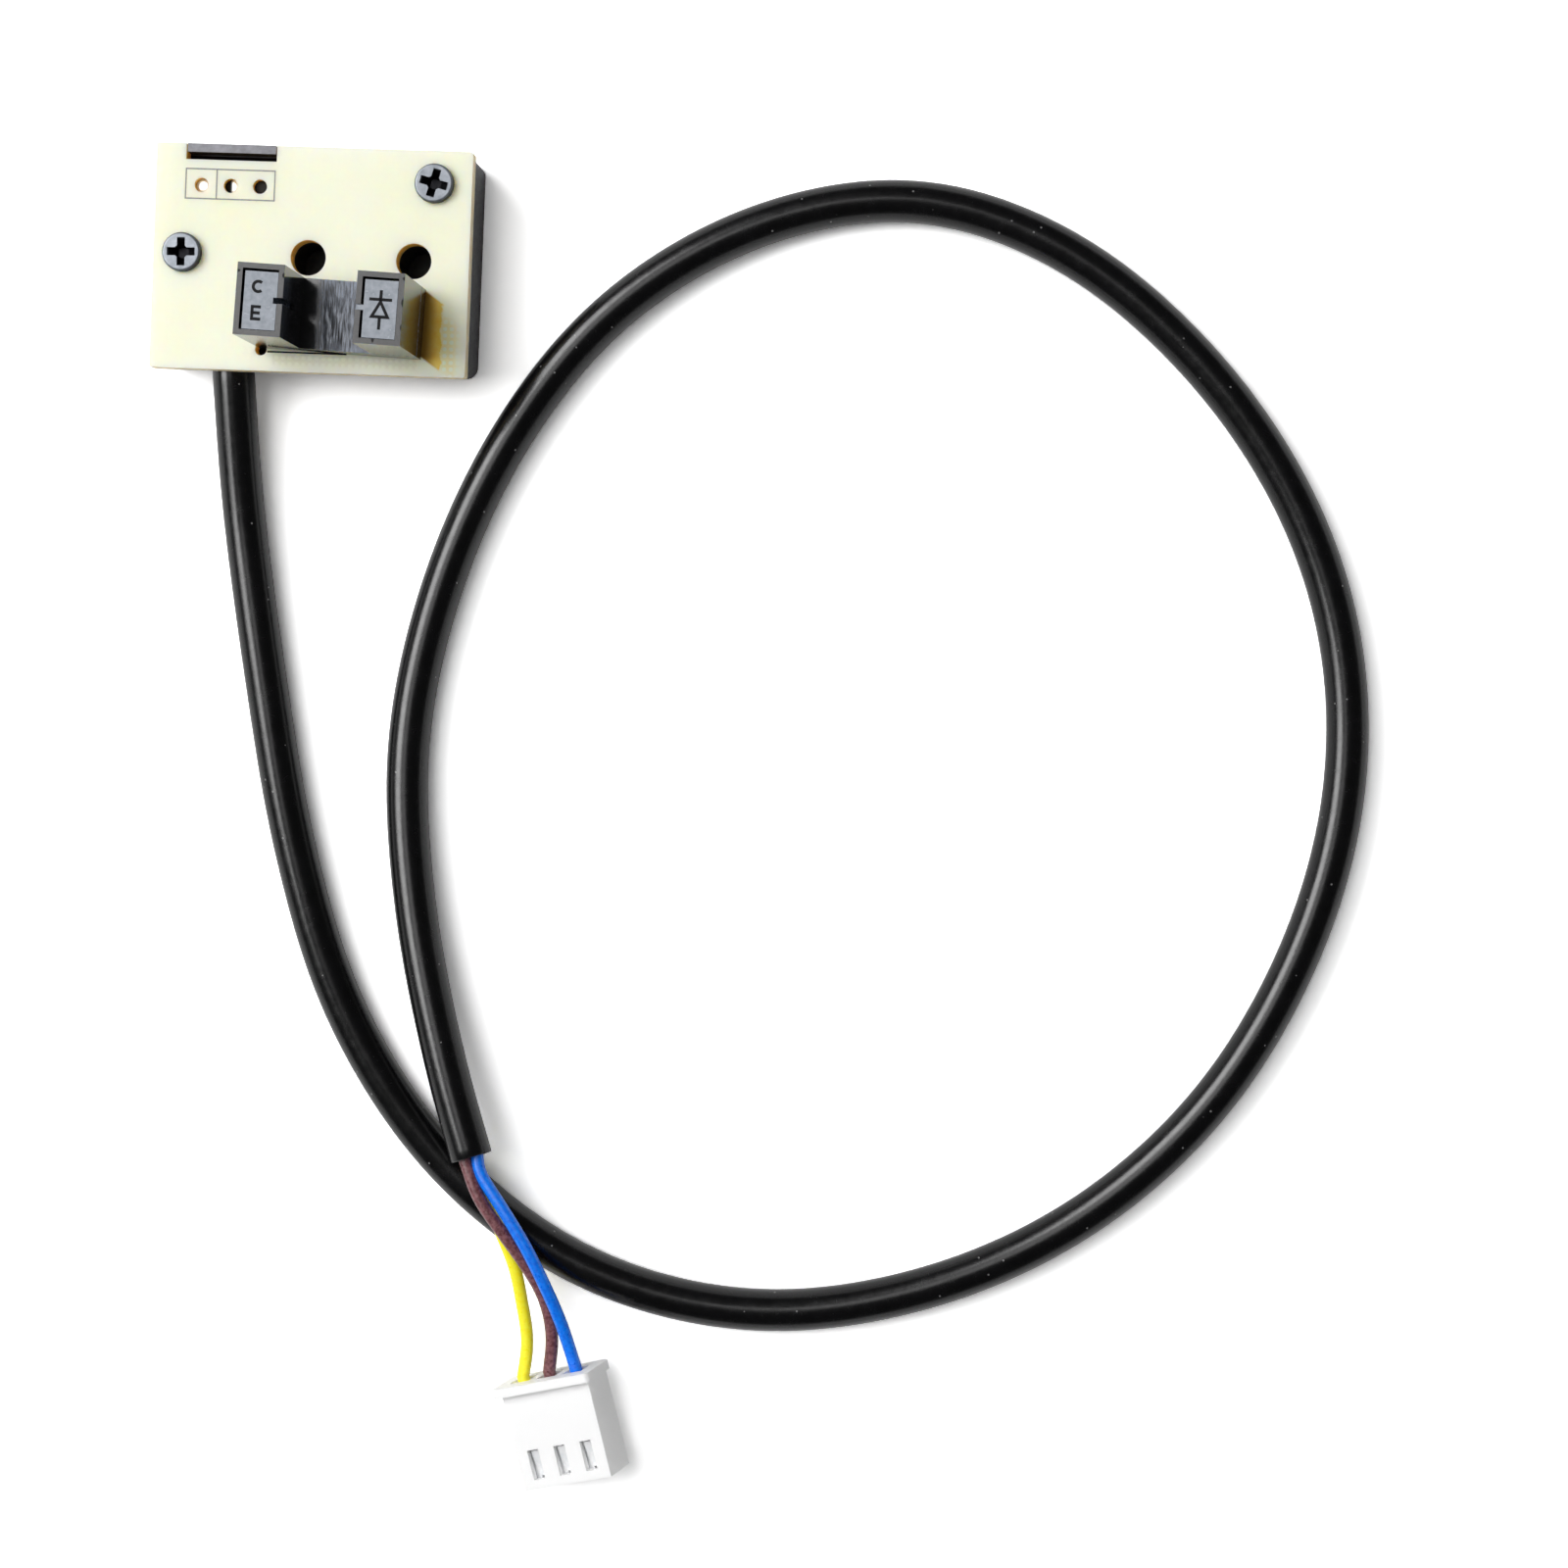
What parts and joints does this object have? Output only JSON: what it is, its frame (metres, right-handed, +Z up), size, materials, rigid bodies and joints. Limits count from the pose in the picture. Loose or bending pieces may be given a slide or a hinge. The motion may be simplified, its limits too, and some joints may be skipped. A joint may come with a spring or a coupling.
{
  "type": "optical speed sensor",
  "caption": "Slotted photo-interrupter on a small board over a moulded tray, with a round three-core cable that ends in a crimp plug.",
  "frame": {"origin": "middle of the head's underside, under the middle of the board", "axes": "+X along the board's length, from the end with the wire holes; +Y towards the board's notched back edge, away from the cable; +Z up, out of the board's top"},
  "size_m": [0.1044, 0.1136, 0.0171],
  "materials": {
    "tray_plastic": "satin black moulding",
    "board_laminate": "satin cream laminate",
    "screw_steel": "black zinc-plated",
    "interrupter_plastic": "polished black moulding",
    "block_resin": "dark infrared-clear resin",
    "lead_metal": "tinned",
    "solder": "bright",
    "resistor_ceramic": "plain",
    "jacket_black": "satin black cable jacket",
    "wire_blue": "satin",
    "wire_brown": "satin",
    "wire_yellow": "satin",
    "plug_nylon": "white nylon",
    "terminal_metal": "tinned sheet"
  },
  "bodies": {
    "root": {"base_housing": "tray_plastic", "circuit_board": "board_laminate", "board_screw_left": "screw_steel", "board_screw_right": "screw_steel", "interrupter_shell": "interrupter_plastic", "emitter_block": "block_resin", "detector_block": "block_resin", "emitter_lead_anode": "lead_metal", "emitter_lead_cathode": "lead_metal", "detector_lead_collector": "lead_metal", "detector_lead_emitter": "lead_metal", "solder_joints": "solder", "led_resistor": "resistor_ceramic", "pullup_resistor": "resistor_ceramic", "cable_jacket": "jacket_black", "head_wire_blue": "wire_blue", "head_wire_brown": "wire_brown", "head_wire_yellow": "wire_yellow", "plug_wire_blue": "wire_blue", "plug_wire_brown": "wire_brown", "plug_wire_yellow": "wire_yellow", "plug_housing": "plug_nylon", "plug_terminal_left": "terminal_metal", "plug_terminal_middle": "terminal_metal", "plug_terminal_right": "terminal_metal"}
  },
  "joints": []
}
